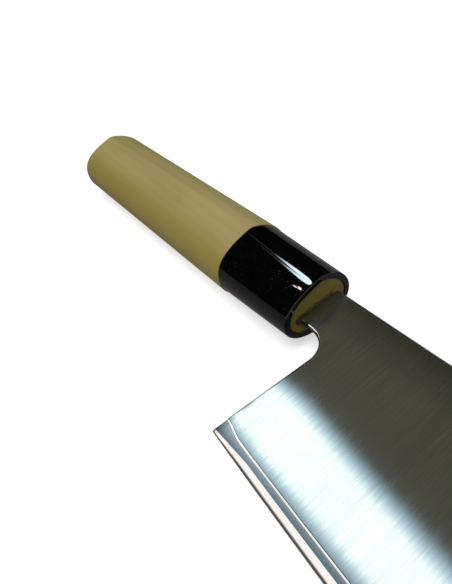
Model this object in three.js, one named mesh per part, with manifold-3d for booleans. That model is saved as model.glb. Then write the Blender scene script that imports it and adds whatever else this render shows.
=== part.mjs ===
// A nakiri knife with a ridged wooden handle, lying on its left side with the right face up.
// Millimetres. X runs from butt to tip, Y from cutting edge to spine, Z out of the right face.
// The ferrule's front face is at X = 0, and the blade's middle plane at Z = 0.
import * as THREE from 'three';
import { mergeVertices } from 'three/addons/utils/BufferGeometryUtils.js';
import Module from 'manifold-3d';

const wasm = await Module();
wasm.setup();

// Handle sizes
const handleLength = 120;
const buttRadius = 1.5;
const gripFlare = 1.5; // half height gained from the ferrule to the butt
const gripDepthFlare = 0.4;
const gripProud = 0.25; // step from the ferrule up to the wood
const ridgeOffset = 1.7; // the ridge lies this far to the spine side of the middle
const ferruleLength = 25.7;
const ferruleWall = 1.75;
const ferruleFlare = 1.05; // half height gained from the front to the rear
const ferruleRidgeDepth = 8.9;
const ferruleRidgeFlare = 1.25;
const ferruleBackDepth = 7.3;
const ferruleBackFlare = 2;
const ferruleRadius = 1.3;
const tenonWall = 0.9;
const tenonRecess = 0.3; // the wood ends this far behind the ferrule's front

// Tang sizes
const tangLength = 82;
const tangTailHeight = 6;
const tangShoulder = 0.4; // step from the neck down to the tang
const tangCladding = 0.45;
const beddingThickness = 0.6;
const fitGap = 0.3;

// Blade sizes
const bladeLength = 165; // heel to tip
const bladeHeight = 43.5; // spine to edge at the heel
const neckHeight = 12.2;
const neckRise = 0.4; // the neck sits this far to the spine side of the handle's middle
const neckLength = 3.6; // straight underside in front of the ferrule
const chinRadius = 6.3;
const heelLean = 1.15; // the heel stands this far behind the chin
const bellyDrop = 3.4; // drop of the edge curve's middle handle
const toeRise = 1;
const toeRadius = 2.5;
const crownRadius = 12;
const coreThickness = 0.6;
const coreReveal = 3.2; // hard steel left bare above the edge
const heelReveal = 0.7; // the bare strip is this much wider at the heel
const claddingAtSpine = 0.6;
const claddingAtEdge = 0.25;
const claddingChamfer = 0.5;
const edgeBevel = 1.6;
const heelBevel = 0.7;
const heelBlend = 10; // length over which the heel's finish blends into the blade's

// Section shape of the handle, as shares of a quarter's sides
const ridgeSlope = 0.19;
const edgeSideFullness = 0.64;
const spineSideFullness = 0.5;
const backRoundness = 0.5523;

// Facets and cutting allowances
const sectionSteps = 12;
const roundingSteps = 4;
const edgeSteps = 40;
const cornerSteps = 8;
const bite = 2; // overlap of pieces that are joined
const overrun = 1; // reach of a cut past the face that it opens

// Places that follow from the sizes
const coreHalf = coreThickness / 2;
const neckHalf = neckHeight / 2;
const spineY = neckRise + neckHalf;
const undersideY = neckRise - neckHalf;
const chinX = neckLength + chinRadius;
const chinY = undersideY - chinRadius;
const heelX = chinX - heelLean;
const heelY = spineY - bladeHeight;
const tipX = heelX + bladeLength;
const toeY = heelY + toeRise;
const faceSlope = (claddingAtSpine - claddingAtEdge) / (bladeHeight - coreReveal);
const seatX = fitGap - tenonRecess;
const tailX = seatX - tangLength;
const tailHalf = tangTailHeight / 2;
const tangMouthHalf = neckHalf - tangShoulder;
const tangFace = coreHalf + tangCladding;
const beddingReach = fitGap + beddingThickness;
const mortiseReach = beddingReach + fitGap;
const mouthHalf = Math.abs(neckRise) + tangMouthHalf + mortiseReach;
const frontHalfHeight = mouthHalf + tenonWall + fitGap + ferruleWall;

const mix = THREE.MathUtils.lerp;

// Half size of the handle's section, smaller all round by an inset
function sizeOf(halfHeight, ridgeDepth, backDepth, inset) {
  return {
    halfHeight: halfHeight - inset,
    ridgeDepth: ridgeDepth - inset,
    backDepth: backDepth - inset,
  };
}

function ferruleSize(x, inset) {
  const share = -x / ferruleLength;
  const halfHeight = frontHalfHeight + ferruleFlare * share;
  const ridgeDepth = ferruleRidgeDepth + ferruleRidgeFlare * share;
  const backDepth = ferruleBackDepth + ferruleBackFlare * share;
  return sizeOf(halfHeight, ridgeDepth, backDepth, inset);
}

function gripSize(x, inset) {
  const share = (-x - ferruleLength) / (handleLength - ferruleLength);
  const joint = ferruleSize(-ferruleLength, -gripProud);
  const halfHeight = joint.halfHeight + gripFlare * share;
  const ridgeDepth = joint.ridgeDepth + gripDepthFlare * share;
  const backDepth = joint.backDepth + gripDepthFlare * share;
  return sizeOf(halfHeight, ridgeDepth, backDepth, inset);
}

// Ridged section in the YZ plane: flat towards the edge, rounder to the spine, oval at the back
function ridgedOutline({ halfHeight, ridgeDepth, backDepth }) {
  const toSpine = spineSideFullness * (halfHeight - ridgeOffset);
  const toEdge = edgeSideFullness * (halfHeight + ridgeOffset);
  const backHeight = backRoundness * halfHeight;
  const backReach = backRoundness * backDepth;
  const path = new THREE.Path();
  path.moveTo(halfHeight, 0);
  path.bezierCurveTo(
    halfHeight, spineSideFullness * ridgeDepth,
    ridgeOffset + toSpine, ridgeDepth - toSpine * ridgeSlope,
    ridgeOffset, ridgeDepth,
  );
  path.bezierCurveTo(
    ridgeOffset - toEdge, ridgeDepth - toEdge * ridgeSlope,
    -halfHeight, edgeSideFullness * ridgeDepth,
    -halfHeight, 0,
  );
  path.bezierCurveTo(-halfHeight, -backReach, -backHeight, -backDepth, 0, -backDepth);
  path.bezierCurveTo(backHeight, -backDepth, halfHeight, -backReach, halfHeight, 0);
  const points = path.getPoints(sectionSteps);
  points.pop();
  return points;
}

// Upright rectangle around the tang's middle line
function tangBox(halfHeight, halfWidth) {
  return [
    new THREE.Vector2(neckRise + halfHeight, -halfWidth),
    new THREE.Vector2(neckRise + halfHeight, halfWidth),
    new THREE.Vector2(neckRise - halfHeight, halfWidth),
    new THREE.Vector2(neckRise - halfHeight, -halfWidth),
  ];
}

function arc(centreX, centreY, radius, fromDegrees, toDegrees) {
  const from = THREE.MathUtils.degToRad(fromDegrees);
  const to = THREE.MathUtils.degToRad(toDegrees);
  const curve = new THREE.EllipseCurve(centreX, centreY, radius, radius, from, to, to < from);
  return curve.getPoints(cornerSteps);
}

function nearestIndex(outline, x, y) {
  const distances = outline.map((point) => Math.hypot(point.x - x, point.y - y));
  return distances.indexOf(Math.min(...distances));
}

function weld(geometry) {
  geometry.deleteAttribute('normal');
  geometry.deleteAttribute('uv');
  const welded = mergeVertices(geometry);
  welded.computeVertexNormals();
  return welded;
}

// Closed solid through matching rings of points, capped along a flat outline
function loft(outline, rings) {
  const steps = rings.length - 1;
  const settings = { depth: steps, steps, bevelEnabled: false };
  const geometry = new THREE.ExtrudeGeometry(new THREE.Shape(outline), settings);
  const position = geometry.attributes.position;
  for (let index = 0; index < position.count; index += 1) {
    const corner = nearestIndex(outline, position.getX(index), position.getY(index));
    const place = rings[Math.round(position.getZ(index))][corner];
    position.setXYZ(index, place.x, place.y, place.z);
  }
  return weld(geometry);
}

// Solid along X through sections in the YZ plane
function alongHandle(sections) {
  const rings = sections.map(({ x, outline }) => {
    return outline.map((point) => new THREE.Vector3(x, point.x, point.y));
  });
  return loft(sections[0].outline, rings);
}

function ringAtHeight(outline, height) {
  return outline.map((point) => new THREE.Vector3(point.x, point.y, height));
}

function solidOf(geometry) {
  const vertProperties = new Float32Array(geometry.attributes.position.array);
  const triVerts = new Uint32Array(geometry.index.array);
  return new wasm.Manifold(new wasm.Mesh({ numProp: 3, vertProperties, triVerts }));
}

function geometryOf(solid) {
  const mesh = solid.getMesh();
  const geometry = new THREE.BufferGeometry();
  geometry.setAttribute('position', new THREE.BufferAttribute(mesh.vertProperties, mesh.numProp));
  geometry.setIndex(new THREE.BufferAttribute(mesh.triVerts, 1));
  geometry.computeVertexNormals();
  return geometry;
}

function cut(geometry, tool) {
  return geometryOf(solidOf(geometry).subtract(solidOf(tool)));
}

function join(geometry, other) {
  return geometryOf(solidOf(geometry).add(solidOf(other)));
}

// Blade outline pieces, in the order heel, edge, toe, crown, tang, chin

function heelShare(x) {
  return 1 - THREE.MathUtils.smoothstep(x, heelX, heelX + heelBlend);
}

function edgeCurve() {
  const heel = new THREE.Vector2(heelX, heelY);
  const toe = new THREE.Vector2(tipX - toeRadius, toeY);
  const middle = new THREE.Vector2(mix(heelX, tipX, 0.5), heelY - bellyDrop);
  return new THREE.QuadraticBezierCurve(heel, middle, toe).getPoints(edgeSteps);
}

function toeCurve() {
  return arc(tipX - toeRadius, toeY + toeRadius, toeRadius, -90, 0).slice(1);
}

function crownCurve() {
  return arc(tipX - crownRadius, spineY - crownRadius, crownRadius, 0, 90);
}

function chinCurve() {
  return arc(neckLength, chinY, chinRadius, 90, 0);
}

function tangHalfAt(x) {
  const share = (seatX - x) / (tangLength - tailHalf);
  return mix(tangMouthHalf, tailHalf, share);
}

// Tang outline from its spine side round the tail to its edge side
function tangCurve() {
  return [
    new THREE.Vector2(seatX, neckRise + tangMouthHalf),
    ...arc(tailX + tailHalf, neckRise, tailHalf, 90, 270),
    new THREE.Vector2(seatX, neckRise - tangMouthHalf),
  ];
}

function neckCorner(side) {
  return new THREE.Vector2(seatX, neckRise + side * neckHalf);
}

// Core outline at the middle plane, or drawn in along the edge to leave the bevel
function coreOutline(bevelShare) {
  const edge = edgeCurve().map(({ x, y }) => {
    const height = mix(edgeBevel, heelBevel, heelShare(x));
    return new THREE.Vector2(x, y + bevelShare * height);
  });
  const toeCentre = new THREE.Vector2(tipX - toeRadius, toeY + toeRadius);
  const toe = toeCurve().map((point, index) => {
    const height = edgeBevel * (1 - (index + 1) / cornerSteps);
    return point.lerp(toeCentre, bevelShare * height / toeRadius);
  });
  return [
    ...edge, ...toe, ...crownCurve(),
    neckCorner(1), ...tangCurve(), neckCorner(-1), ...chinCurve(),
  ];
}

function coreSteel() {
  const bevelled = coreOutline(1);
  const middle = coreOutline(0);
  const rings = [
    ringAtHeight(bevelled, -coreHalf),
    ringAtHeight(middle, 0),
    ringAtHeight(bevelled, coreHalf),
  ];
  return loft(middle, rings);
}

// Lower border of the cladding, from the heel's back to the tip
function revealCurve(chamfer) {
  const border = edgeCurve().map(({ x, y }) => {
    return new THREE.Vector2(x, y + coreReveal + heelReveal * heelShare(x) + chamfer);
  });
  const backShare = (border[0].y - heelY) / (chinY - heelY);
  border[0].x = mix(heelX, chinX, backShare);
  border.push(new THREE.Vector2(tipX, toeY + coreReveal + chamfer));
  return border;
}

function claddingOutline(chamfer) {
  return [
    ...revealCurve(chamfer), ...crownCurve(),
    neckCorner(1), neckCorner(-1), ...chinCurve(),
  ];
}

function faceHeight(y) {
  return coreHalf + claddingAtSpine - faceSlope * (spineY - y);
}

// Outer sheet of one side: side is 1 for the right face and -1 for the left
function cladding(side) {
  const inner = claddingOutline(0);
  const outer = claddingOutline(claddingChamfer);
  const innerRing = ringAtHeight(inner, side * coreHalf);
  const outerRing = outer.map(({ x, y }) => new THREE.Vector3(x, y, side * faceHeight(y)));
  const bladeRings = [innerRing, outerRing];
  const tang = [
    ...tangCurve(),
    new THREE.Vector2(seatX + bite, neckRise - tangMouthHalf),
    new THREE.Vector2(seatX + bite, neckRise + tangMouthHalf),
  ];
  const tangRings = [ringAtHeight(tang, side * coreHalf), ringAtHeight(tang, side * tangFace)];
  if (side < 0) {
    bladeRings.reverse();
    tangRings.reverse();
  }
  return join(loft(inner, bladeRings), loft(tang, tangRings));
}

// Tapered box around the tang, wider than it by a reach
function aroundTang(reach, fromX, toX) {
  return alongHandle([fromX, toX].map((x) => {
    return { x, outline: tangBox(tangHalfAt(x) + reach, tangFace + reach) };
  }));
}

function tangBedding() {
  const sleeve = aroundTang(beddingReach, tailX - beddingReach, -tenonRecess);
  const slot = aroundTang(fitGap, tailX - fitGap, overrun - tenonRecess);
  return cut(sleeve, slot);
}

// Sections that round over an end: direction is 1 when the solid lies on the +X side of the face
function roundedEnd(faceX, direction, radius, sizeAt) {
  const sections = [];
  for (let step = 0; step <= roundingSteps; step += 1) {
    const angle = (step / roundingSteps) * Math.PI / 2;
    const x = faceX + direction * radius * (1 - Math.cos(angle));
    const inset = radius * (1 - Math.sin(angle));
    sections.push({ x, outline: ridgedOutline(sizeAt(x, inset)) });
  }
  return sections;
}

function handleGrip() {
  const jointX = -ferruleLength;
  const grip = alongHandle([
    ...roundedEnd(-handleLength, 1, buttRadius, gripSize),
    { x: jointX, outline: ridgedOutline(gripSize(jointX, 0)) },
  ]);
  const tenon = alongHandle([jointX - bite, -tenonRecess].map((x) => {
    return { x, outline: ridgedOutline(ferruleSize(x, ferruleWall + fitGap)) };
  }));
  const mortise = aroundTang(mortiseReach, tailX - mortiseReach, overrun - tenonRecess);
  return cut(join(grip, tenon), mortise);
}

function ferrule() {
  const rearX = -ferruleLength;
  const shell = alongHandle([
    { x: rearX, outline: ridgedOutline(ferruleSize(rearX, 0)) },
    ...roundedEnd(0, -1, ferruleRadius, ferruleSize).reverse(),
  ]);
  const bore = alongHandle([rearX - overrun, overrun].map((x) => {
    return { x, outline: ridgedOutline(ferruleSize(x, ferruleWall)) };
  }));
  return cut(shell, bore);
}

function piece(name, geometry, color, roughness, metalness) {
  const material = new THREE.MeshStandardMaterial({ color, roughness, metalness });
  const mesh = new THREE.Mesh(geometry, material);
  mesh.name = name;
  return mesh;
}

const knife = new THREE.Group();
knife.add(
  piece('core_steel', coreSteel(), 0xc9ced4, 0.22, 1),
  piece('right_cladding', cladding(1), 0x9c9d97, 0.34, 1),
  piece('left_cladding', cladding(-1), 0x9c9d97, 0.34, 1),
  piece('tang_bedding', tangBedding(), 0x6e5230, 0.6, 0),
  piece('handle_grip', handleGrip(), 0xb3a474, 0.55, 0),
  piece('ferrule', ferrule(), 0x0b0b0d, 0.12, 0),
);

// The knife's box stands on the origin
const box = new THREE.Box3().setFromObject(knife);
const middle = box.getCenter(new THREE.Vector3());
knife.position.set(-middle.x, -middle.y, -box.min.z);

export default knife;
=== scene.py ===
from math import pi

import bmesh
import bpy
from mathutils import Matrix, Vector, noise
from mathutils.geometry import interpolate_bezier


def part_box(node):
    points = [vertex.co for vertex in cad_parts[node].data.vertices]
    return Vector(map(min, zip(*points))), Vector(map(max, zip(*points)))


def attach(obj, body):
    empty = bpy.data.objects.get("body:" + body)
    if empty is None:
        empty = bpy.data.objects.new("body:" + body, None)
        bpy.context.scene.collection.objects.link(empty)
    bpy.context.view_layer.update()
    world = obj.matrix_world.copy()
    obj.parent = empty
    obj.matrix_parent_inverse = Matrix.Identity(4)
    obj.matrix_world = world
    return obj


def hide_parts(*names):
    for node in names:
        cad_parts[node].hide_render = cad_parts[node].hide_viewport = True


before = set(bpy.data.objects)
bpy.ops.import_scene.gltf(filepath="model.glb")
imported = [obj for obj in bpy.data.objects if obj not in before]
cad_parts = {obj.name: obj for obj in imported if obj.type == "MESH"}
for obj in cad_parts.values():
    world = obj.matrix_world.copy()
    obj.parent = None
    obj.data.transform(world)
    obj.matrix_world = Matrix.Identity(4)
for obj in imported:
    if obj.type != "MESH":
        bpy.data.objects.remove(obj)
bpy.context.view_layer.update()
scene = bpy.context.scene
scene.view_settings.view_transform = "Standard"
print("frame loaded:", sorted(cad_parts))

# Pieces are modelled in millimetres, ferrule front at x 0, blade's middle plane at z 0
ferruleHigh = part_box("ferrule")[1]
coreLow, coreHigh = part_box("core_steel")
gripLow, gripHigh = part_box("handle_grip")
middle = Vector((ferruleHigh.x, (gripLow.y + gripHigh.y) / 2, (coreLow.z + coreHigh.z) / 2))
toRow = Matrix.Translation(middle) @ Matrix.Scale(0.001, 4)
touching = 0.01  # millimetres within which two places count as one
mergeReach = 0.001


# Mesh helpers

def newVerts(made):
    return [item for item in made if isinstance(item, bmesh.types.BMVert)]


def ringEdges(ring):
    inRing = set(ring)
    found = {}
    for vert in ring:
        for edge in vert.link_edges:
            if edge.other_vert(vert) in inRing:
                found[edge] = True
    return list(found)


def placeRing(ring, order, x, outline):
    for vert in ring:
        y, z = outline[vert[order]]
        vert.co = (x, y, z)


def startRing(bm, order, x, outline):
    ring = bmesh.ops.create_circle(bm, cap_ends=False, segments=len(outline), radius=1)["verts"]
    for index, vert in enumerate(ring):
        vert[order] = index
    placeRing(ring, order, x, outline)
    return ring


def pullRing(bm, order, ring, x, outline):
    ring = newVerts(bmesh.ops.extrude_edge_only(bm, edges=ringEdges(ring))["geom"])
    placeRing(ring, order, x, outline)
    return ring


def roundOver(bm, edges, offset, segments):
    return bmesh.ops.bevel(bm, geom=edges, offset=offset, offset_type="OFFSET", segments=segments,
                           profile=0.5, affect="EDGES", material=-1, clamp_overlap=True)


def roundCorner(bm, vert, radius, segments):
    return bmesh.ops.bevel(bm, geom=[vert], offset=radius, offset_type="OFFSET", segments=segments,
                           profile=0.5, affect="VERTICES", material=-1, clamp_overlap=True)


def edgesAtX(bm, x, leastAngle=0.5):
    bmesh.ops.recalc_face_normals(bm, faces=bm.faces)
    found = []
    for edge in bm.edges:
        inPlane = all(abs(vert.co.x - x) < touching for vert in edge.verts)
        if inPlane and edge.calc_face_angle(0) > leastAngle and edge.is_convex:
            found.append(edge)
    return found


def fade(share):
    share = min(max(share, 0), 1)
    return 1 - share * share * (3 - 2 * share)


def finishPiece(name, bm, material, node, sharpAngle=0.6):
    bmesh.ops.remove_doubles(bm, verts=bm.verts, dist=mergeReach)
    bmesh.ops.recalc_face_normals(bm, faces=bm.faces)
    for face in bm.faces:
        face.smooth = True
    for edge in bm.edges:
        edge.smooth = edge.calc_face_angle(0) < sharpAngle
    bmesh.ops.transform(bm, matrix=toRow, verts=bm.verts)
    mesh = bpy.data.meshes.new(name)
    bm.to_mesh(mesh)
    bm.free()
    mesh.materials.append(material)
    piece = bpy.data.objects.new(name, mesh)
    scene.collection.objects.link(piece)
    weighted = piece.modifiers.new("even_normals", "WEIGHTED_NORMAL")
    weighted.keep_sharp = True
    weighted.weight = 80  # large faces lead
    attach(piece, "root")
    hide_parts(node)
    print("made", name, "with", len(mesh.polygons), "faces")
    return piece


# Shader helpers

def feed(node, sockets):
    for key, value in sockets.items():
        if isinstance(value, Wire):
            value.tree.links.new(value.socket, node.inputs[key])
        else:
            node.inputs[key].default_value = value


class Wire:
    def __init__(self, tree, socket=None):
        self.tree = tree
        self.socket = socket

    def node(self, kind, settings=None, sockets=None, output=0):
        made = self.tree.nodes.new(kind)
        for name, value in (settings or {}).items():
            setattr(made, name, value)
        feed(made, sockets or {})
        return Wire(self.tree, made.outputs[output])

    def math(self, operation, first, second=0.0):
        return self.node("ShaderNodeMath", {"operation": operation}, {0: first, 1: second})

    def __add__(self, other):
        return self.math("ADD", self, other)

    def __radd__(self, other):
        return self.math("ADD", other, self)

    def __sub__(self, other):
        return self.math("SUBTRACT", self, other)

    def __rsub__(self, other):
        return self.math("SUBTRACT", other, self)

    def __mul__(self, other):
        return self.math("MULTIPLY", self, other)

    def __rmul__(self, other):
        return self.math("MULTIPLY", other, self)

    def between(self, low, high):
        settings = {"interpolation_type": "SMOOTHSTEP"}
        return self.node("ShaderNodeMapRange", settings, {0: self, 1: low, 2: high})

    def blend(self, first, second):
        settings = {"data_type": "RGBA", "clamp_factor": True}
        return self.node("ShaderNodeMix", settings, {0: self, 6: first, 7: second}, 2)

    def stretched(self, scale, place=(0, 0, 0)):
        return self.node("ShaderNodeMapping", sockets={"Vector": self, "Location": place, "Scale": scale})

    def noise(self, detail=2.0, roughness=0.5):
        return self.node("ShaderNodeTexNoise", sockets={
            "Vector": self, "Scale": 1.0, "Detail": detail, "Roughness": roughness})

    def length(self):
        return self.node("ShaderNodeVectorMath", {"operation": "LENGTH"}, {0: self}, "Value")

    def axis(self, index):
        return self.node("ShaderNodeSeparateXYZ", sockets={0: self}, output=index)

    def bump(self, depth):
        sockets = {"Strength": 1.0, "Distance": depth, "Height": self}
        return self.node("ShaderNodeBump", sockets=sockets)


def linear(red, green, blue):
    def channel(value):
        value = value / 255
        return value / 12.92 if value <= 0.04045 else ((value + 0.055) / 1.055) ** 2.4
    return (channel(red), channel(green), channel(blue), 1.0)


def newMaterial(name):
    material = bpy.data.materials.new(name)
    material.use_nodes = True
    tree = material.node_tree
    place = Wire(tree).node("ShaderNodeTexCoord", output="Object")
    return material, tree.nodes["Principled BSDF"], place


def inMillimetres(place):
    return place.stretched((1000, 1000, 1000), -1000 * middle)


# Handle section: flat towards the edge, rounder to the spine, oval at the back

sectionLook = dict(
    quarterSteps=24,
    ridgeOffset=1.7,  # the ridge lies this far to the spine side
    ridgeSlope=0.19,
    edgeSideFullness=0.64,
    spineSideFullness=0.5,
    backRoundness=0.5523,
    longEdge=5,  # edges along the handle are longer than this
)


def sectionOutline(size, inset=0.0):
    half, ridge, back = (value - inset for value in size)
    offset = sectionLook["ridgeOffset"]
    slope = sectionLook["ridgeSlope"]
    toSpine = sectionLook["spineSideFullness"] * (half - offset)
    toEdge = sectionLook["edgeSideFullness"] * (half + offset)
    spineHandle = sectionLook["spineSideFullness"] * ridge
    edgeHandle = sectionLook["edgeSideFullness"] * ridge
    backHeight = sectionLook["backRoundness"] * half
    backReach = sectionLook["backRoundness"] * back
    quarters = [
        ((half, 0), (half, spineHandle), (offset + toSpine, ridge - slope * toSpine), (offset, ridge)),
        ((offset, ridge), (offset - toEdge, ridge - slope * toEdge), (-half, edgeHandle), (-half, 0)),
        ((-half, 0), (-half, -backReach), (-backHeight, -back), (0, -back)),
        ((0, -back), (backHeight, -back), (half, -backReach), (half, 0)),
    ]
    outline = []
    for quarter in quarters:
        knots = [Vector(knot) for knot in quarter]
        outline += interpolate_bezier(*knots, sectionLook["quarterSteps"] + 1)[:-1]
    return outline


def sizeBetween(front, rear, share):
    return tuple(a + (b - a) * share for a, b in zip(front, rear))


def ridgeEdges(bm, order, x, depth):
    ridge = sectionLook["quarterSteps"]
    end = Vector((x, depth))
    found = []
    for edge in bm.edges:
        onRidge = all(vert[order] == ridge for vert in edge.verts)
        atEnd = any((vert.co.xz - end).length < touching for vert in edge.verts)
        if onRidge and atEnd and edge.calc_length() > sectionLook["longEdge"]:
            found.append(edge)
    return found


# Ferrule

ferruleLook = dict(
    length=25.7,
    wall=1.75,
    front=(10.25, 8.9, 7.3),  # half height, ridge depth, back depth
    rear=(11.3, 10.15, 9.3),
    rimRadius=1.25,
    rimSteps=7,
    mouthRadius=0.3,
    mouthSteps=3,
    ridgeRadius=0.45,
    ridgeSteps=4,
    black=linear(4, 4, 5),
    haze=linear(10, 9, 9),
    dust=linear(98, 80, 54),
    hazeGrain=(900, 900, 900),
    hazeRamp=(0.35, 0.75),
    hazeRoughness=0.02,
    scuffGrain=(60, 1500, 1500),  # fine scuffs run along the handle
    scuffRamp=(0.55, 0.8),
    scuffRoughness=0.03,
    dustGrain=(2600, 2600, 2600),
    dustRamp=(0.7, 0.77),
    dustRoughness=0.25,
    patchGrain=(130, 130, 130),  # the dust lies in patches
    patchRamp=(0.45, 0.65),
    polish=0.015,
    scuffDepth=0.0000002,
)


def ferruleSize(x):
    return sizeBetween(ferruleLook["front"], ferruleLook["rear"], -x / ferruleLook["length"])


def polishedBlack():
    look = ferruleLook
    material, shader, place = newMaterial("polished_black")
    haze = place.stretched(look["hazeGrain"]).noise(3, 0.6)
    scuff = place.stretched(look["scuffGrain"]).noise(2, 0.5)
    speck = place.stretched(look["dustGrain"]).noise(1, 0.5).between(*look["dustRamp"])
    patch = place.stretched(look["patchGrain"], (2, 5, 1)).noise(1, 0.5).between(*look["patchRamp"])
    dust = speck * patch
    colour = haze.between(*look["hazeRamp"]).blend(look["black"], look["haze"])
    roughness = look["polish"] + look["hazeRoughness"] * haze
    roughness = roughness + look["scuffRoughness"] * scuff.between(*look["scuffRamp"])
    feed(shader, {
        "Base Color": dust.blend(colour, look["dust"]),
        "Roughness": roughness + look["dustRoughness"] * dust,
        "IOR": 1.45,
        "Normal": scuff.bump(look["scuffDepth"]),
    })
    return material


def makeFerrule():
    look = ferruleLook
    rear = -look["length"]
    bm = bmesh.new()
    order = bm.verts.layers.int.new("order")
    ring = startRing(bm, order, rear, sectionOutline(look["rear"]))
    ring = pullRing(bm, order, ring, 0, sectionOutline(look["front"]))
    ring = pullRing(bm, order, ring, 0, sectionOutline(look["front"], look["wall"]))
    ring = pullRing(bm, order, ring, rear, sectionOutline(look["rear"], look["wall"]))
    pullRing(bm, order, ring, rear, sectionOutline(look["rear"]))
    bmesh.ops.remove_doubles(bm, verts=bm.verts, dist=mergeReach)
    roundOver(bm, ridgeEdges(bm, order, rear, look["rear"][1]), look["ridgeRadius"], look["ridgeSteps"])
    rimLine = sectionOutline(look["front"])
    rim, mouth = [], []
    for edge in edgesAtX(bm, 0):
        centre = (edge.verts[0].co + edge.verts[1].co) / 2
        fromRim = min((centre.yz - point).length for point in rimLine)
        (rim if fromRim < look["wall"] / 2 else mouth).append(edge)
    roundOver(bm, mouth, look["mouthRadius"], look["mouthSteps"])
    roundOver(bm, rim, look["rimRadius"], look["rimSteps"])
    return finishPiece("ferrule_collar", bm, polishedBlack(), "ferrule")


# Wooden grip with its tenon, which shows in the ferrule's mouth

gripLook = dict(
    length=120,
    joint=(11.55, 10.4, 9.55),
    butt=(13.05, 10.8, 9.95),
    buttRadius=1.5,
    buttSteps=7,
    jointRadius=0.12,
    jointSteps=2,
    ridgeRadius=0.7,
    ridgeSteps=4,
    tenonGap=0.02,
    recess=0.3,  # the wood ends this far behind the ferrule's front
    slotMouth=(7.45, 1.4),  # half height and half width
    slotMouthCentre=0.55,
    slotRagged=0.3,  # the slot is burnt in, so its mouth is uneven
    burnCoarse=(1.3, 0.4, 7.0),  # waves along and across the slot, and where the pattern starts
    burnFine=(3.1, 0.4, 2.0),
    burnFineShare=0.6,
    burnShift=0.5,
    slotSpill=0.9,  # the mouth is wider at the spine end
    spillFrom=3.2,
    spillLength=2.5,
    mouthSquareness=5,
    tailSquareness=10,
    slotTail=(4.0, 1.32),
    slotEnd=-83.2,
    slotCentre=0.4,
    pale=linear(190, 174, 116),
    olive=linear(170, 155, 97),
    # painted sheen tint for the spine side
    green=linear(177, 169, 106),
    streak=linear(136, 122, 66),
    # painted bounce tint for the edge side
    bounceYellow=linear(158, 138, 62),
    endGrain=linear(127, 111, 40),
    heart=(0.055, 0.03),  # the tree's middle lies beside the handle, towards edge and back
    wanderGrain=(9, 40, 40),
    ringWander=1.6,
    ringStretch=0.05,  # rings hardly change along the handle
    ringsPerMetre=420,
    fibreGrain=(45, 2600, 2600),
    fleckGrain=(220, 900, 900),
    cloudGrain=(25, 90, 90),
    yearShare=0.1,
    fibreShare=0.3,
    cloudShare=0.75,
    toneRamp=(0.25, 0.95),
    fleckRamp=(0.6, 0.8),
    fleckStrength=0.15,
    sheenSide=(4.0, 9.0),  # painted light: greener and greyer to the spine, where sheen falls, yellower to the edge, where warm bounce light falls
    bounceSide=(-11.0, -3.0),
    lightTintStrength=0.8,
    endRamp=(-3.0, -0.5),
    smoothest=0.5,
    fibreRoughness=0.16,
    fleckDepth=0.5,  # as a share of the fibres' depth
    grainDepth=0.000018,
)


def burnt(y, z, waves):
    along, across, shift = waves
    return noise.noise((along * y, across * z, shift))


def slotOutline(size, centre, squareness, ragged=0.0, spill=0.0):
    look = gripLook
    halfHeight, halfWidth = size
    outline = []
    for point in sectionOutline((10, 10, 10)):  # any rounded ring will do, as it is squared up here
        across = abs(point.x / halfHeight) ** squareness + abs(point.y / halfWidth) ** squareness
        reach = across ** (-1 / squareness)
        y, z = point.x * reach, point.y * reach
        wander = burnt(y, z, look["burnCoarse"]) + look["burnFineShare"] * burnt(y, z, look["burnFine"])
        z *= 1 + ragged * (look["burnShift"] + wander)
        if z > 0:
            z *= 1 + spill * min(max((y - look["spillFrom"]) / look["spillLength"], 0), 1)
        outline.append((centre + y, z))
    return outline


def slotMouth(size):
    look = gripLook
    return slotOutline(size, look["slotMouthCentre"], look["mouthSquareness"], look["slotRagged"],
                       look["slotSpill"])


def slotInside(size):
    return slotOutline(size, gripLook["slotCentre"], gripLook["tailSquareness"])


def bareWood():
    look = gripLook
    material, shader, place = newMaterial("bare_wood")
    heart = (-middle.x, look["heart"][0] - middle.y, look["heart"][1] - middle.z)
    wander = place.stretched(look["wanderGrain"]).noise(2, 0.5)
    fromHeart = place.stretched((look["ringStretch"], 1, 1), heart).length()
    rings = fromHeart * look["ringsPerMetre"] + look["ringWander"] * wander
    year = rings.math("PINGPONG", rings, 0.5) * 2
    fibre = place.stretched(look["fibreGrain"]).noise(3, 0.6)
    fleck = place.stretched(look["fleckGrain"]).noise(2, 0.5)
    cloud = place.stretched(look["cloudGrain"]).noise(2, 0.5)
    tone = look["yearShare"] * year + look["fibreShare"] * fibre + look["cloudShare"] * cloud
    colour = tone.between(*look["toneRamp"]).blend(look["pale"], look["olive"])
    streak = look["fleckStrength"] * fleck.between(*look["fleckRamp"])
    colour = streak.blend(colour, look["streak"])
    inside = inMillimetres(place)
    across = inside.axis(1)
    # painted light: sheen tint towards the spine, warm bounce tint towards the edge
    green = look["lightTintStrength"] * across.between(*look["sheenSide"])
    bounceYellow = look["lightTintStrength"] * (1 - across.between(*look["bounceSide"]))
    colour = bounceYellow.blend(green.blend(colour, look["green"]), look["bounceYellow"])
    colour = inside.axis(0).between(*look["endRamp"]).blend(colour, look["endGrain"])
    feed(shader, {
        "Base Color": colour,
        "Roughness": look["smoothest"] + look["fibreRoughness"] * fibre,
        "IOR": 1.45,
        "Normal": (fibre + look["fleckDepth"] * fleck).bump(look["grainDepth"]),
    })
    return material


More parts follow.
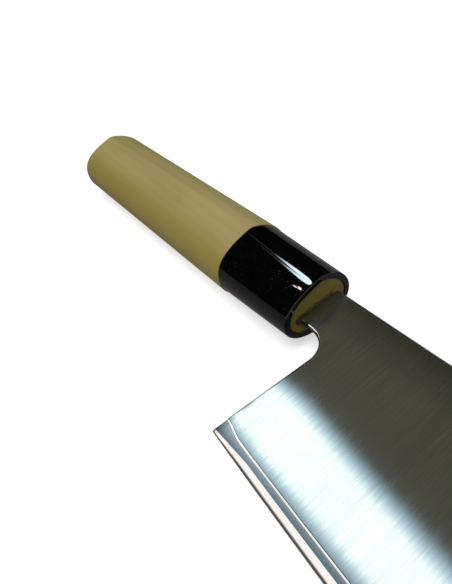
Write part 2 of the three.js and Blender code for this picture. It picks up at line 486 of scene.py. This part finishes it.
def makeGrip():
    look = gripLook
    wall = ferruleLook["wall"] + look["tenonGap"]
    joint = -ferruleLook["length"]
    tenonEnd = -look["recess"]
    bm = bmesh.new()
    order = bm.verts.layers.int.new("order")
    buttRing = startRing(bm, order, -look["length"], sectionOutline(look["butt"]))
    ring = pullRing(bm, order, buttRing, joint, sectionOutline(look["joint"]))
    ring = pullRing(bm, order, ring, joint, sectionOutline(ferruleSize(joint), wall))
    ring = pullRing(bm, order, ring, tenonEnd, sectionOutline(ferruleSize(tenonEnd), wall))
    slotRing = startRing(bm, order, tenonEnd, slotMouth(look["slotMouth"]))
    endEdges = ringEdges(ring) + ringEdges(slotRing)
    bmesh.ops.triangle_fill(bm, use_beauty=False, use_dissolve=True, edges=endEdges, normal=(1, 0, 0))
    ring = pullRing(bm, order, slotRing, look["slotEnd"], slotInside(look["slotTail"]))
    bmesh.ops.contextual_create(bm, geom=ringEdges(ring))
    bmesh.ops.contextual_create(bm, geom=ringEdges(buttRing))
    roundOver(bm, ridgeEdges(bm, order, joint, look["joint"][1]), look["ridgeRadius"], look["ridgeSteps"])
    roundOver(bm, edgesAtX(bm, -look["length"]), look["buttRadius"], look["buttSteps"])
    roundOver(bm, edgesAtX(bm, joint), look["jointRadius"], look["jointSteps"])
    return finishPiece("wooden_grip", bm, bareWood(), "handle_grip")


# Resin that holds the tang in its slot

beddingLook = dict(
    edge=-0.26,  # the resin meets the wood here and climbs towards the neck
    mouth=-0.03,
    climb=0.5,  # more of it at the neck's lower corner
    climbFrom=-2.5,
    climbTo=-5.5,
    outerMouth=(7.43, 1.38),
    outerTail=(3.95, 1.3),
    neck=(6.13, 1.14),
    seat=-0.05,
    innerMouth=(5.74, 0.93),
    innerTail=(3.05, 0.93),
    rear=-82.9,
    innerRear=-82.05,
    brown=linear(60, 42, 20),
    dark=linear(40, 27, 13),
    amber=linear(122, 95, 33),
    amberRamp=(4.2, 5.7),  # the resin runs thicker and clearer at the spine end
    cloudGrain=(700, 700, 700),
    cloudRamp=(0.3, 0.7),
    smoothest=0.45,
    cloudRoughness=0.25,
    cloudDepth=0.00006,
    halfwayClimb=0.3,  # share of the climb that is reached halfway to the neck
)


def setResin():
    look = beddingLook
    material, shader, place = newMaterial("set_resin")
    cloud = place.stretched(look["cloudGrain"]).noise(3, 0.6)
    colour = cloud.between(*look["cloudRamp"]).blend(look["brown"], look["dark"])
    amber = inMillimetres(place).axis(1).between(*look["amberRamp"])
    feed(shader, {
        "Base Color": amber.blend(colour, look["amber"]),
        "Roughness": look["smoothest"] + look["cloudRoughness"] * cloud,
        "Normal": cloud.bump(look["cloudDepth"]),
    })
    return material


def makeBedding():
    look = beddingLook
    bm = bmesh.new()
    order = bm.verts.layers.int.new("order")
    rearRing = startRing(bm, order, look["rear"], slotInside(look["outerTail"]))
    outer = slotMouth(look["outerMouth"])
    neck = slotInside(look["neck"])
    halfway = [Vector(a).lerp(Vector(b), 0.5) for a, b in zip(outer, neck)]
    ring = pullRing(bm, order, rearRing, look["edge"], outer)
    for outline, share in ((halfway, look["halfwayClimb"]), (neck, 1.0)):
        ring = pullRing(bm, order, ring, look["edge"], outline)
        for vert in ring:
            climb = (look["climbFrom"] - vert.co.y) / (look["climbFrom"] - look["climbTo"])
            rise = look["mouth"] - look["edge"] + look["climb"] * min(max(climb, 0), 1)
            vert.co.x += share * rise
    ring = pullRing(bm, order, ring, look["seat"], neck)
    ring = pullRing(bm, order, ring, look["seat"], slotInside(look["innerMouth"]))
    ring = pullRing(bm, order, ring, look["innerRear"], slotInside(look["innerTail"]))
    bmesh.ops.contextual_create(bm, geom=ringEdges(ring))
    bmesh.ops.contextual_create(bm, geom=ringEdges(rearRing))
    return finishPiece("resin_bedding", bm, setResin(), "tang_bedding")


# Steel finish: brushed from spine to edge, with painted shade on the walls, at the neck, at the heel and
# along the edges, and a painted highlight on the roundings

steelLook = dict(
    sheet=(linear(206, 207, 203), linear(180, 181, 177)),
    sheetHighlight=linear(250, 251, 250),  # painted highlight on the rounded edges
    sheetBrushDepth=0.0000003,
    core=(linear(154, 152, 151), linear(145, 143, 142)),
    coreRounded=linear(154, 152, 151),
    coreBrushDepth=0.0000001,
    polish=0.05,
    fineBrush=(3800, 70, 70),
    coarseBrush=(1900, 90, 90),
    broadBrush=(160, 25, 25),
    fineShare=0.4,
    coarseShare=0.4,
    broadShare=0.2,
    brushRamp=(0.3, 0.7),
    fineRoughness=0.02,
    coarseRoughness=0.03,
    coarseRamp=(0.35, 0.75),
    coarseDepth=0.1,  # as a share of the fine marks' depth
    wallRise=(0.1, 0.35),  # walls, roundings and flats are told apart by how far they look up
    roundRise=(0.3, 0.5),
    flatRise=(0.9, 0.985),
    # painted shade: walls, the neck beside the handle, the heel's corner and the back edge are darkened
    # towards this colour
    wall=linear(92, 91, 87),
    wallSatin=0.2,
    neckReach=(1, 8),
    # painted shade on the neck beside the handle
    neckShade=0.6,
    neckSatin=0.26,
    apexShade=linear(45, 42, 40),  # painted shade line along the very edge
    apexHeight=(0.06, 0.13),
    apexBack=(8.9, 9.2),
    apexTop=(-36.2, -35.6),
    # painted shade over the heel's corner
    heelShade=0.5,
    heelBack=(8.9, 10.8),
    heelTop=(-33.0, -30.5),
    backShade=0.8,  # painted shade line down the back edge, which leans
    backLean=0.046,
    backLine=(10.52, 10.98),
    backTop=(-16, -12),
)


def brushedSteel(name, colours, rounded, brushDepth):
    look = steelLook
    material, shader, place = newMaterial(name)
    fine = place.stretched(look["fineBrush"]).noise(2, 0.6)
    coarse = place.stretched(look["coarseBrush"], (3, 1, 2)).noise(3, 0.6)
    broad = place.stretched(look["broadBrush"]).noise(2, 0.5)
    marks = look["fineShare"] * fine + look["coarseShare"] * coarse + look["broadShare"] * broad
    brushed = marks.between(*look["brushRamp"]).blend(*colours)
    rise = place.node("ShaderNodeNewGeometry", output="Normal").axis(2)
    rise = rise.math("ABSOLUTE", rise)
    wall = 1 - rise.between(*look["wallRise"])
    flat = rise.between(*look["flatRise"])
    roundHighlight = rise.between(*look["roundRise"]) * (1 - flat)
    inside = inMillimetres(place)
    x, y, z = inside.axis(0), inside.axis(1), inside.axis(2)
    neck = 1 - x.between(*look["neckReach"])
    # painted shade: a dark line along the very edge and round the heel's corner
    apexShade = 1 - z.math("ABSOLUTE", z).between(*look["apexHeight"])
    apexShade = apexShade.math("MAXIMUM", apexShade, 1 - x.between(*look["apexBack"]))
    apexShade = apexShade * (1 - y.between(*look["apexTop"]))
    # painted shade over the heel's corner
    heel = look["heelShade"] * (1 - x.between(*look["heelBack"])) * (1 - y.between(*look["heelTop"]))
    # painted shade: a dark line down the back edge
    back = 1 - (x - look["backLean"] * y).between(*look["backLine"])
    back = look["backShade"] * back * (1 - y.between(*look["backTop"]))
    # painted shade on the walls and on the neck beside the handle
    colour = wall.math("MAXIMUM", wall, look["neckShade"] * neck).blend(brushed, look["wall"])
    # painted highlight: the roundings are brightened
    colour = roundHighlight.blend(colour, rounded)
    colour = heel.math("MAXIMUM", heel, back).blend(colour, look["wall"])
    satin = look["wallSatin"] * wall + look["neckSatin"] * neck * flat
    roughness = look["polish"] + look["coarseRoughness"] * coarse.between(*look["coarseRamp"])
    feed(shader, {
        "Base Color": apexShade.blend(colour, look["apexShade"]),
        "Metallic": 1.0,
        "Roughness": roughness + look["fineRoughness"] * fine + satin,
        "Normal": (fine + look["coarseDepth"] * coarse).bump(brushDepth),
    })
    return material


# Blade: hard core between two softer outer sheets

bladeLook = dict(
    heel=(8.75, -37.0),
    toe=(173.75, -36.0),
    toeRadius=2.5,
    toeSteps=8,
    bellyDrop=3.4,
    spineY=6.5,
    undersideY=-5.7,
    crownRadius=12,
    crownSteps=16,
    chin=(9.9, -12.0),
    chinRadius=6.3,
    chinSteps=24,
    seatX=0,
    tangCentre=0.4,
    tangMouthHalf=5.7,
    tailX=-82,
    tailHalf=3,
    tailRadius=2.94,
    tailSteps=6,
    tangHeight=0.75,
    coreHalf=0.3,
    sheetAtSpine=0.6,
    faceSlope=0.008685,
    reveal=2.8,  # hard steel left bare above the edge
    heelReveal=0.9,
    heelBlend=6,
    chamfer=0.34,
    shoulderRadius=0.1,
    shoulderSteps=3,
    edgeBevel=1.6,
    edgeZone=4,  # the bevel lies within this height of the heel
    heelBevel=0.7,
    bevelBlend=10,
    neckRise=0.22,  # the neck is forged a little thicker
    neckCuts=(1.5, 3, 5, 7, 11, 14, 17, 20, 24, 28, 32),
    spineRadius=0.5,
    spineSteps=4,
    edgeCuts=159,
    faceRise=0.99,  # faces, spine walls and chamfers are told apart by how far they look up
    spineRise=0.05,
    chamferRise=0.95,
    coreSharpAngle=0.15,
)


def heelShare(x):
    return fade((x - bladeLook["heel"][0]) / bladeLook["heelBlend"])


def edgeLine():
    look = bladeLook
    heel = Vector(look["heel"])
    toe = Vector((look["toe"][0] - look["toeRadius"], look["toe"][1]))
    belly = Vector(((look["heel"][0] + look["toe"][0]) / 2, look["heel"][1] - look["bellyDrop"]))
    handles = [heel.lerp(belly, 2 / 3), toe.lerp(belly, 2 / 3)]  # one handle, given as two
    return interpolate_bezier(heel, *handles, toe, look["edgeCuts"] + 2)


def faceHeight(y):
    look = bladeLook
    return look["coreHalf"] + look["sheetAtSpine"] - look["faceSlope"] * (look["spineY"] - y)


def thickenNeck(bm):
    look = bladeLook
    for x in look["neckCuts"]:
        geometry = list(bm.verts) + list(bm.edges) + list(bm.faces)
        bmesh.ops.bisect_plane(bm, geom=geometry, dist=mergeReach, plane_co=(x, 0, 0), plane_no=(1, 0, 0))
    for vert in bm.verts:
        if vert.co.x > look["seatX"] - touching:
            grow = look["neckRise"] / look["sheetAtSpine"] * fade(vert.co.x / look["neckCuts"][-1])
            vert.co.z += grow * (vert.co.z - look["coreHalf"])


def flatBlade(lowerCorners, z):
    look = bladeLook
    tangTop = look["tangCentre"] + look["tangMouthHalf"]
    tangBottom = look["tangCentre"] - look["tangMouthHalf"]
    tailTop = look["tangCentre"] + look["tailHalf"]
    tailBottom = look["tangCentre"] - look["tailHalf"]
    bm = bmesh.new()
    corners = [bm.verts.new((x, y, z)) for x, y in [
        *lowerCorners, (look["toe"][0], look["spineY"]), (look["seatX"], look["spineY"]),
        (look["seatX"], tangTop), (look["seatX"], tangBottom),
        (look["seatX"], look["undersideY"]), (look["chin"][0], look["undersideY"]),
    ]]
    crown, neckTop, neckBottom, chin = corners[-6], corners[-4], corners[-3], corners[-1]
    tail = [bm.verts.new((look["tailX"], y, z)) for y in (tailTop, tailBottom)]
    bm.faces.new(corners)
    bm.faces.new([neckTop, *tail, neckBottom])
    roundCorner(bm, crown, look["crownRadius"], look["crownSteps"])
    roundCorner(bm, chin, look["chinRadius"], look["chinSteps"])
    for corner in tail:
        roundCorner(bm, corner, look["tailRadius"], look["tailSteps"])
    return bm


def cutBottomEdge(bm, heelPoint, toePoint, cuts):
    def nearest(point):
        return min(bm.verts, key=lambda vert: (vert.co.xy - Vector(point)).length)
    edge = bm.edges.get((nearest(heelPoint), nearest(toePoint)))
    made = bmesh.ops.subdivide_edges(bm, edges=[edge], cuts=cuts)["geom_inner"]
    return sorted(newVerts(made), key=lambda vert: vert.co.x)


def raiseFaces(bm):
    return newVerts(bmesh.ops.extrude_face_region(bm, geom=list(bm.faces))["geom"])


def makeSheet(name, side, node, material):
    look = bladeLook
    line = edgeLine()
    backShare = (look["reveal"] + look["heelReveal"]) / (look["chin"][1] - look["heel"][1])
    backX = look["heel"][0] + (look["chin"][0] - look["heel"][0]) * backShare
    heelPoint = (backX, look["heel"][1] + look["reveal"] + look["heelReveal"])
    toePoint = (look["toe"][0], look["toe"][1] + look["reveal"])
    bm = flatBlade([heelPoint, toePoint], look["coreHalf"])
    border = cutBottomEdge(bm, heelPoint, toePoint, len(line) - 1)
    for vert, point in zip(border, line[1:]):
        rise = look["reveal"] + look["heelReveal"] * heelShare(point.x)
        vert.co.xy = (point.x, point.y + rise)
    low = {round(vert.co.x, 3): vert.co.y for vert in border}
    low[round(heelPoint[0], 3)] = heelPoint[1]
    low[round(toePoint[0], 3)] = toePoint[1]
    for vert in raiseFaces(bm):
        bottom = low.get(round(vert.co.x, 3))
        if bottom is not None and abs(bottom - vert.co.y) < touching:
            vert.co.y += look["chamfer"]
        onTang = vert.co.x < look["seatX"] - touching
        vert.co.z = look["tangHeight"] if onTang else faceHeight(vert.co.y)
    bmesh.ops.recalc_face_normals(bm, faces=bm.faces)
    spine, shoulder = [], []
    for edge in bm.edges:
        rises = sorted(face.normal.z for face in edge.link_faces)
        onBlade = max(vert.co.x for vert in edge.verts) > look["seatX"] + touching
        if not onBlade or rises[-1] < look["faceRise"]:
            continue
        if abs(rises[0]) < look["spineRise"]:
            spine.append(edge)
        elif rises[0] < look["chamferRise"]:
            shoulder.append(edge)
    roundOver(bm, shoulder, look["shoulderRadius"], look["shoulderSteps"])
    spine = [edge for edge in spine if edge.is_valid]
    roundOver(bm, spine, look["spineRadius"], look["spineSteps"])
    thickenNeck(bm)
    if side < 0:
        bmesh.ops.scale(bm, vec=(1, 1, -1), verts=bm.verts)
    return finishPiece(name, bm, material, node)


def makeCore(material):
    look = bladeLook
    line = edgeLine()
    bm = flatBlade([look["heel"], look["toe"]], 0)
    toe = min(bm.verts, key=lambda vert: (vert.co.xy - Vector(look["toe"])).length)
    roundCorner(bm, toe, look["toeRadius"], look["toeSteps"])
    border = cutBottomEdge(bm, look["heel"], line[-1], look["edgeCuts"])
    for vert, point in zip(border, line[1:-1]):
        vert.co.xy = point
    flat = list(bm.faces)
    toeCentre = Vector((look["toe"][0] - look["toeRadius"], look["toe"][1] + look["toeRadius"]))
    bevelTop = look["heel"][1] + look["edgeZone"]
    for vert in raiseFaces(bm):
        vert.co.z = look["coreHalf"]
        if vert.co.y > bevelTop:
            continue
        if vert.co.x < toeCentre.x + touching:
            share = min(max((vert.co.x - look["heel"][0]) / look["bevelBlend"], 0), 1)
            vert.co.y += look["heelBevel"] + (look["edgeBevel"] - look["heelBevel"]) * share
        else:
            below = max(toeCentre.y - vert.co.y, 0) / look["toeRadius"]
            vert.co.xy = vert.co.xy.lerp(toeCentre, look["edgeBevel"] / look["toeRadius"] * below)
    bmesh.ops.delete(bm, geom=flat, context="FACES")
    everything = list(bm.verts) + list(bm.edges) + list(bm.faces)
    bmesh.ops.mirror(bm, geom=everything, matrix=Matrix.Identity(4), merge_dist=mergeReach, axis="Z")
    return finishPiece("hard_core", bm, material, "core_steel", look["coreSharpAngle"])


collar = makeFerrule()
handle = [collar, makeGrip(), makeBedding()]
sheetSteel = brushedSteel("brushed_sheet", steelLook["sheet"], steelLook["sheetHighlight"],
                          steelLook["sheetBrushDepth"])
coreSteel = brushedSteel("polished_core", steelLook["core"], steelLook["coreRounded"],
                         steelLook["coreBrushDepth"])
sheets = [makeSheet("right_sheet", 1, "right_cladding", sheetSteel),
          makeSheet("left_sheet", -1, "left_cladding", sheetSteel)]
core = makeCore(coreSteel)
blade = [*sheets, core]


# Stage: white floor and plain surroundings

stageLook = dict(
    floorHalf=4,
    floorZ=-0.0002,
    glowRamp=(0.2, 0.9),
    floorColour=(0.72, 0.72, 0.72, 1),
    # painted shade: the floor is darker in mirrors than to the camera
    floorShadeInMirrors=(0.2, 0.2, 0.2, 1),
    nearGlow=0.6,  # floor's own white beside the knife, and far from it
    farGlow=0.95,
    mirrorGlow=0.06,  # mirrors see little floor glow: painted shade for the shaded table around the knife
    worldLight=0.08,
)


def lightPath(tree):
    camera = Wire(tree).node("ShaderNodeLightPath", output="Is Camera Ray")
    outputs = camera.socket.node.outputs
    glossy = Wire(tree, outputs["Is Glossy Ray"])
    return camera, glossy.math("MAXIMUM", glossy, Wire(tree, outputs["Is Transmission Ray"]))


def stageCard(name, bm, material):
    mesh = bpy.data.meshes.new(name)
    bm.to_mesh(mesh)
    bm.free()
    mesh.materials.append(material)
    card = bpy.data.objects.new(name, mesh)
    scene.collection.objects.link(card)
    return card


def flatCard(name, corners, material):
    bm = bmesh.new()
    bm.faces.new([bm.verts.new(corner) for corner in corners])
    return stageCard(name, bm, material)


def glowMaterial(name):
    material = bpy.data.materials.new(name)
    material.use_nodes = True
    tree = material.node_tree
    tree.nodes.clear()
    place = Wire(tree).node("ShaderNodeTexCoord", output="Object")
    output = tree.nodes.new("ShaderNodeOutputMaterial")
    return material, place, output


def glow(place, colour, strength):
    return place.node("ShaderNodeEmission", sockets={"Color": colour, "Strength": strength})


def plainGlow(name, colour, strength):
    material, place, output = glowMaterial(name)
    feed(output, {"Surface": glow(place, colour, strength)})
    return material


def shineOn(source, pieces):
    lit = bpy.data.collections.new(source.name + "_shines_on")
    for piece in pieces:
        lit.objects.link(piece)
    source.light_linking.receiver_collection = lit


def mirrorOnly(card, pieces):
    shineOn(card, pieces)
    card.visible_camera = False
    card.visible_diffuse = False
    card.visible_shadow = False
    card.visible_transmission = False


def makeFloor():
    look = stageLook
    material, place, output = glowMaterial("white_floor")
    far = place.length().between(*look["glowRamp"])
    forCamera = look["nearGlow"] + (look["farGlow"] - look["nearGlow"]) * far
    camera, mirrors = lightPath(place.tree)
    # painted shade: mirrors see a darker floor
    colour = mirrors.blend(look["floorColour"], look["floorShadeInMirrors"])
    matte = place.node("ShaderNodeBsdfDiffuse", sockets={"Color": colour})
    white = glow(place, (1, 1, 1, 1), camera * forCamera + mirrors * look["mirrorGlow"])
    feed(output, {"Surface": place.node("ShaderNodeAddShader", sockets={0: matte, 1: white})})
    material.cycles.emission_sampling = "NONE"
    half = look["floorHalf"]
    corners = [(-half, -half), (half, -half), (half, half), (-half, half)]
    return flatCard("floor", [(*corner, look["floorZ"]) for corner in corners], material)


def makeWorld():
    world = bpy.data.worlds.new("studio")
    scene.world = world
    world.use_nodes = True
    world.cycles.sampling_method = "NONE"
    tree = world.node_tree
    background = tree.nodes["Background"]
    camera, mirrors = lightPath(tree)
    strength = stageLook["worldLight"] + (1 - stageLook["worldLight"]) * (camera + mirrors)
    feed(background, {"Color": (1, 1, 1, 1), "Strength": strength})


# Ceiling: cards that only the blade mirrors

ceilingLook = dict(
    height=1.01,
    cardGap=0.001,  # smaller cards hang this far below the ceiling
    corners=[(-4, -4), (1.5, -4), (1.5, 4), (-4, 4)],
    walls=[(-1, -4), (-4, -4), (-4, 4), (-1, 4)],
    wallFoot=0.03,
    dark=0.055,
    darkRamp=(0.48, 0.66),  # half as bright beyond this
    start=(-0.72, -0.585),  # all lights begin here along x
    startReach=4.6,  # and further back on the near side
    nearSide=(-0.35, -0.1),
    strip=2.05,
    stripNear=(0.082, 0.13),
    stripFar=(0.203, 0.278),
    stripSlope=0.09,  # the strip narrows along x, and at its start
    stripPinch=0.029,
    pinchRamp=(-0.72, -0.46),
    dim=0.36,
    dimNear=(-0.17, -0.12),
    wide=0.8,
    wideNear=0.35,  # added close to the knife, and far away
    nearRamp=(-0.9, -0.5),
    wideFar=0.5,
    farX=(-1.6, -1.2),
    farY=(-3.0, -2.4),
    beyondX=(-1.0, -0.8),
    beyondY=(0.95, 1.4),
    edgeLight=3.2,
    warm=(1.0, 0.98, 0.72, 1),
    cool=(0.6, 0.86, 1.04, 1),
    coolGain=10,  # the faintest light of the strip is cool already
    bright=(0.86, 0.98, 1.0, 1),
    brightRamp=(0.55, 0.95),
    white=(1.0, 0.98, 0.96, 1),
    stripCard=[(-0.76, 0.08), (1.5, 0.08), (1.5, 0.145), (-0.76, 0.35)],
    edgeCard=[(-1.1, -1.0), (0.3, -1.0), (0.3, -0.15), (-1.1, -0.15)],
)


def ceilingGlow():
    look = ceilingLook
    material, place, output = glowMaterial("studio_ceiling")
    x = place.axis(0)
    y = place.axis(1)
    reach = look["startReach"] * (1 - y.between(*look["nearSide"]))
    ahead = (x + reach).between(*look["start"])
    lean = y + look["stripSlope"] * x + look["stripPinch"] * (1 - x.between(*look["pinchRamp"]))
    pastDim = y.between(*look["stripNear"])
    pastWide = y.between(*look["dimNear"])
    strip = ahead * pastDim * (1 - lean.between(*look["stripFar"]))
    dim = ahead * pastWide * (1 - pastDim)
    wide = ahead * (1 - pastWide)
    beyond = x.between(*look["beyondX"]) * y.between(*look["beyondY"])
    far = (1 - x.between(*look["farX"])) * (1 - y.between(*look["farY"]))
    spread = look["wide"] + look["wideNear"] * y.between(*look["nearRamp"]) + look["wideFar"] * far
    strength = look["dark"] * (2 - y.between(*look["darkRamp"]))
    strength = strength + look["strip"] * strip + look["dim"] * dim + spread * wide + beyond
    tint = (look["coolGain"] * (strip + dim)).blend(look["warm"], look["cool"])
    tint = strip.between(*look["brightRamp"]).blend(tint, look["bright"])
    tint = (wide + beyond).blend(tint, look["white"])
    feed(output, {"Surface": glow(place, tint, strength)})
    return material


def makeCeiling():
    look = ceilingLook
    top, foot = look["height"], look["wallFoot"]
    below = top - look["cardGap"]
    material = ceilingGlow()
    stripMaterial = material.copy()  # the bright strip alone is sampled as a lamp
    material.cycles.emission_sampling = "NONE"
    edgeMaterial = plainGlow("edge_light", look["white"], look["edgeLight"])
    mirrorOnly(flatCard("ceiling", [(*corner, top) for corner in look["corners"]], material), blade)
    stripOutline = [(*corner, below) for corner in look["stripCard"]]
    mirrorOnly(flatCard("bright_strip", stripOutline, stripMaterial), blade)
    edgeOutline = [(*corner, below) for corner in look["edgeCard"]]
    mirrorOnly(flatCard("edge_light", edgeOutline, edgeMaterial), [core])
    for index, (start, stop) in enumerate(zip(look["walls"], look["walls"][1:])):
        outline = [(*start, foot), (*stop, foot), (*stop, top), (*start, top)]
        mirrorOnly(flatCard("side_wall_%d" % index, outline, material), blade)


# Small lamps whose shine runs along the ferrule's ridge

shineLook = dict(
    height=0.25,
    blue=(0.72, 0.9, 1.0, 1),
    pink=(1.0, 0.86, 0.84, 1),
    low=1.0,
    high=28,
    ramps=dict(upper=(-0.208, -0.177), lower=(-0.198, -0.165)),
    upper=[(-0.245, 0.0428), (-0.208, 0.0378), (-0.19, 0.0345), (-0.175, 0.031), (-0.162, 0.0285),
           (-0.1575, 0.0275), (-0.157, 0.0315), (-0.159, 0.0355), (-0.163, 0.0385), (-0.175, 0.0395),
           (-0.19, 0.0395), (-0.208, 0.0392), (-0.245, 0.0434)],
    lower=[(-0.222, 0.0335), (-0.204, 0.0303), (-0.189, 0.0262), (-0.176, 0.0225), (-0.165, 0.02),
           (-0.1605, 0.0205), (-0.158, 0.0235), (-0.1575, 0.0275), (-0.162, 0.0285), (-0.1765, 0.0292),
           (-0.189, 0.0303), (-0.204, 0.0325), (-0.222, 0.0341)],
    spots=[((-0.1635, -0.0105), (0.0021, 0.0058)), ((-0.1682, -0.016), (0.0023, 0.0028))],
    spotSteps=16,
)


def makeShine():
    look = shineLook
    z = look["height"]
    for name, ramp in look["ramps"].items():
        material, place, output = glowMaterial(name + "_shine")
        strength = look["low"] + look["high"] * place.axis(0).between(*ramp)
        feed(output, {"Surface": glow(place, look["blue"], strength)})
        outline = [(*corner, z) for corner in look[name]]
        mirrorOnly(flatCard(name + "_shine", outline, material), [collar])
    material = plainGlow("pink_shine", look["pink"], look["high"])
    for index, (centre, half) in enumerate(look["spots"]):
        bm = bmesh.new()
        size = Matrix.Translation((*centre, z)) @ Matrix.Diagonal((*half, 1, 1))
        bmesh.ops.create_circle(bm, cap_ends=True, segments=look["spotSteps"], radius=1, matrix=size)
        mirrorOnly(stageCard("pink_shine_%d" % index, bm, material), [collar])


# Lamp overhead for the floor and the handle

lampLook = dict(place=(0.25, -0.3, 1.3), size=0.8, light=0.87)


def makeLamp(pieces):
    look = lampLook
    lamp = bpy.data.lights.new("overhead", "AREA")
    lamp.shape = "SQUARE"
    lamp.size = look["size"]
    height = look["place"][2]
    lamp.energy = look["light"] * pi * pi * height * height
    box = bpy.data.objects.new("overhead", lamp)
    box.location = look["place"]
    box.visible_camera = False
    box.visible_glossy = False
    scene.collection.objects.link(box)
    shineOn(box, pieces)


# Camera at the picture's viewing angle

cameraLook = dict(
    place=(0.030449, -0.032312, 0.089919),
    axes=((0.561968, -0.480055, 0.673602), (0.795214, 0.537683, -0.280235),
          (-0.227656, 0.693141, 0.683907)),
    sensor=36,
    focalPixels=450,
    longSidePixels=584,
    nearest=0.004,
)


def makeCamera():
    look = cameraLook
    lens = bpy.data.cameras.new("camera")
    lens.sensor_width = look["sensor"]
    lens.lens = look["focalPixels"] * look["sensor"] / look["longSidePixels"]
    lens.clip_start = look["nearest"]
    camera = bpy.data.objects.new("camera", lens)
    camera.matrix_world = Matrix.Translation(look["place"]) @ Matrix(look["axes"]).to_4x4()
    scene.collection.objects.link(camera)
    scene.camera = camera


floor = makeFloor()
makeWorld()
makeCeiling()
makeShine()
makeLamp([floor, *handle])
makeCamera()
print("stage made")
